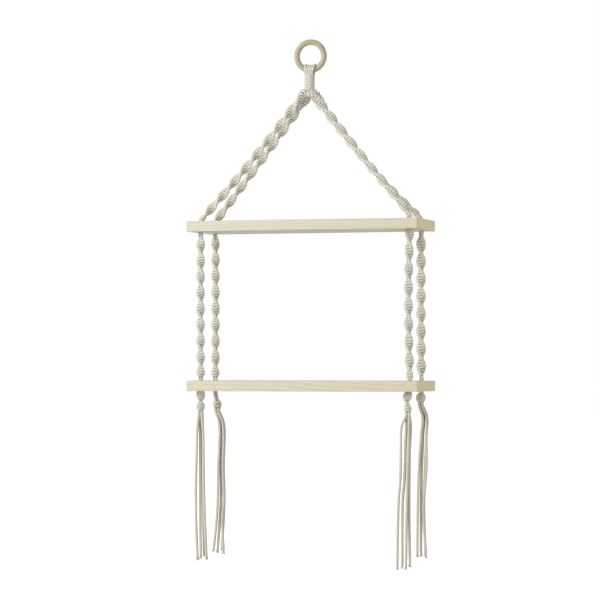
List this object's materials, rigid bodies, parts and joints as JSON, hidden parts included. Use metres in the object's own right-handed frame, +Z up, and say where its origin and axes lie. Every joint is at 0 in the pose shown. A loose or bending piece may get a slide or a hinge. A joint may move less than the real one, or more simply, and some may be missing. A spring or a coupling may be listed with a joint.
{
  "type": "hanging rope shelf",
  "caption": "Hanging shelf: two wooden boards on knotted cotton ropes that gather under a wooden ring, with free strands below.",
  "frame": {"origin": "the point of the ring's bore, at its top, that rests on the wall hook", "axes": "+X along the boards to the right, +Y to the wall behind, +Z up"},
  "size_m": [0.432, 0.127, 0.95],
  "materials": {
    "pine": "bare planed pine, fine pale grain",
    "ring_wood": "bare sanded hardwood",
    "cotton": "natural off-white cotton cord"
  },
  "bodies": {
    "ring": {"wooden_ring": "ring_wood"},
    "hanger": {"cord_loop_1": "cotton", "cord_loop_2": "cotton", "cord_loop_3": "cotton", "cord_loop_4": "cotton", "cord_loop_5": "cotton", "neck_core": "cotton", "neck_wrap": "cotton"},
    "upper_tier": {"upper_board": "pine", "upper_rope_front_left": "cotton", "upper_rope_back_left": "cotton", "upper_rope_front_right": "cotton", "upper_rope_back_right": "cotton"},
    "front_left_rope": {"lower_rope_front_left": "cotton"},
    "back_left_rope": {"lower_rope_back_left": "cotton"},
    "front_right_rope": {"lower_rope_front_right": "cotton"},
    "back_right_rope": {"lower_rope_back_right": "cotton"},
    "lower_tier": {"lower_board": "pine", "end_knots_front_left": "cotton", "end_knots_back_left": "cotton", "end_knots_front_right": "cotton", "end_knots_back_right": "cotton", "strand_front_left_1": "cotton", "strand_front_left_2": "cotton", "strand_front_left_3": "cotton", "strand_front_left_4": "cotton", "strand_back_left_1": "cotton", "strand_back_left_2": "cotton", "strand_back_left_3": "cotton", "strand_back_left_4": "cotton", "strand_front_right_1": "cotton", "strand_front_right_2": "cotton", "strand_front_right_3": "cotton", "strand_front_right_4": "cotton", "strand_back_right_1": "cotton", "strand_back_right_2": "cotton", "strand_back_right_3": "cotton", "strand_back_right_4": "cotton"}
  },
  "joints": [
    {"name": "ring_rock", "type": "hinge", "parent": "ring", "child": "hanger", "pos_m": [0, 0, -0.045], "axis": [1, 0, 0], "range_deg": [-25, 25]},
    {"name": "neck_sway", "type": "hinge", "parent": "hanger", "child": "upper_tier", "pos_m": [0, 0, -0.08395], "axis": [0, 1, 0], "range_deg": [-12, 12]},
    {"name": "front_left_sway", "type": "hinge", "parent": "upper_tier", "child": "front_left_rope", "pos_m": [-0.1954, -0.0411, -0.3508], "axis": [0, 1, 0], "range_deg": [-20, 20]},
    {"name": "back_left_sway", "type": "hinge", "parent": "upper_tier", "child": "back_left_rope", "pos_m": [-0.1954, 0.0411, -0.3508], "axis": [0, 1, 0], "range_deg": [-20, 20]},
    {"name": "front_right_sway", "type": "hinge", "parent": "upper_tier", "child": "front_right_rope", "pos_m": [0.1954, -0.0411, -0.3508], "axis": [0, 1, 0], "range_deg": [-20, 20]},
    {"name": "back_right_sway", "type": "hinge", "parent": "upper_tier", "child": "back_right_rope", "pos_m": [0.1954, 0.0411, -0.3508], "axis": [0, 1, 0], "range_deg": [-20, 20]},
    {"name": "lower_board_level", "type": "hinge", "parent": "front_left_rope", "child": "lower_tier", "pos_m": [-0.1954, -0.0411, -0.6017], "axis": [0, 1, 0], "range_deg": [-20, 20]}
  ],
  "couplings": [
    {"joint": "back_left_sway", "follows": "front_left_sway", "ratio": 1},
    {"joint": "front_right_sway", "follows": "front_left_sway", "ratio": 1},
    {"joint": "back_right_sway", "follows": "front_left_sway", "ratio": 1},
    {"joint": "lower_board_level", "follows": "front_left_sway", "ratio": -1}
  ]
}
